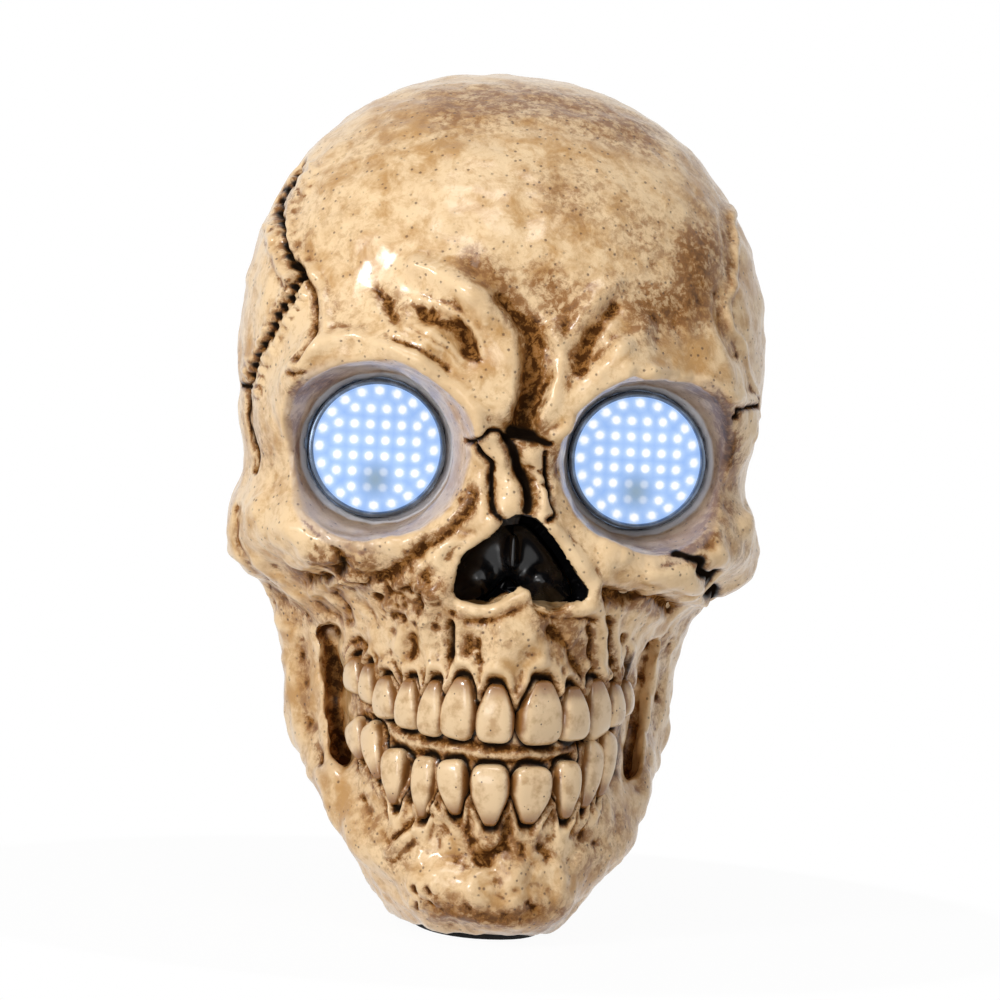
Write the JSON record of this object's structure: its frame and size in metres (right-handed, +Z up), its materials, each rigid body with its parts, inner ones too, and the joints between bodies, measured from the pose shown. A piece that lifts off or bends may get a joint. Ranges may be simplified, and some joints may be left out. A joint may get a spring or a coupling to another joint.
{
  "type": "halloween skull decoration",
  "caption": "Hollow plastic skull decoration with round lit eyes, a battery box behind a rear door and a slide switch, standing on its jaw.",
  "frame": {"origin": "on the floor under the skull, on the underside of its pad", "axes": "+Z up, the face looks along -Y, +X to the skull's own left"},
  "size_m": [0.1302, 0.1525, 0.205],
  "materials": {
    "bone": "glossy moulded plastic, ivory with a brown wash in its hollows",
    "nose_black": "glossy black",
    "bezel_gloss": "glossy blue-black",
    "lens_blue": "lit pale blue diffuser",
    "circuit_board": "solder mask green",
    "dark_plastic": "satin black",
    "rubber_pad": "matte foam",
    "cell_sleeve": "printed sleeve, plain",
    "steel": "zinc plated",
    "lead_sleeve": "soft vinyl"
  },
  "bodies": {
    "skull": {"face_shell": "bone", "rear_shell": "bone", "nose_insert": "nose_black", "left_eye_bezel": "bezel_gloss", "right_eye_bezel": "bezel_gloss", "left_eye_lens": "lens_blue", "right_eye_lens": "lens_blue", "left_led_board": "circuit_board", "right_led_board": "circuit_board", "controller_board": "circuit_board", "left_eye_cup": "dark_plastic", "right_eye_cup": "dark_plastic", "battery_box": "dark_plastic", "base_plate": "dark_plastic", "switch_body": "dark_plastic", "anti_slip_pad": "rubber_pad", "battery_cell_1": "cell_sleeve", "battery_cell_2": "cell_sleeve", "battery_cell_3": "cell_sleeve", "battery_spring_1": "steel", "battery_spring_2": "steel", "battery_spring_3": "steel", "positive_contact": "steel", "negative_contact": "steel", "upper_bridge_contact": "steel", "lower_bridge_contact": "steel", "upper_left_box_screw": "steel", "lower_left_box_screw": "steel", "upper_right_box_screw": "steel", "lower_right_box_screw": "steel", "upper_left_shell_screw": "steel", "upper_right_shell_screw": "steel", "lower_left_shell_screw": "steel", "lower_right_shell_screw": "steel", "front_left_base_screw": "steel", "front_right_base_screw": "steel", "rear_left_base_screw": "steel", "rear_right_base_screw": "steel", "left_board_screw": "steel", "right_board_screw": "steel", "left_switch_screw": "steel", "right_switch_screw": "steel", "left_upper_eye_screw": "steel", "left_lower_eye_screw": "steel", "right_upper_eye_screw": "steel", "right_lower_eye_screw": "steel", "left_eye_lead": "lead_sleeve", "right_eye_lead": "lead_sleeve", "battery_lead": "lead_sleeve", "switch_lead": "lead_sleeve"},
    "battery_door": {"battery_door": "bone", "upper_door_screw": "steel", "lower_door_screw": "steel"},
    "switch_slider": {"switch_slider": "dark_plastic"}
  },
  "joints": [
    {"name": "door_pull", "type": "slide", "parent": "skull", "child": "battery_door", "axis": [0, 1, 0], "range_m": [0, 0.06]},
    {"name": "switch_slide", "type": "slide", "parent": "skull", "child": "switch_slider", "axis": [1, 0, 0], "range_m": [-0.004, 0]}
  ]
}
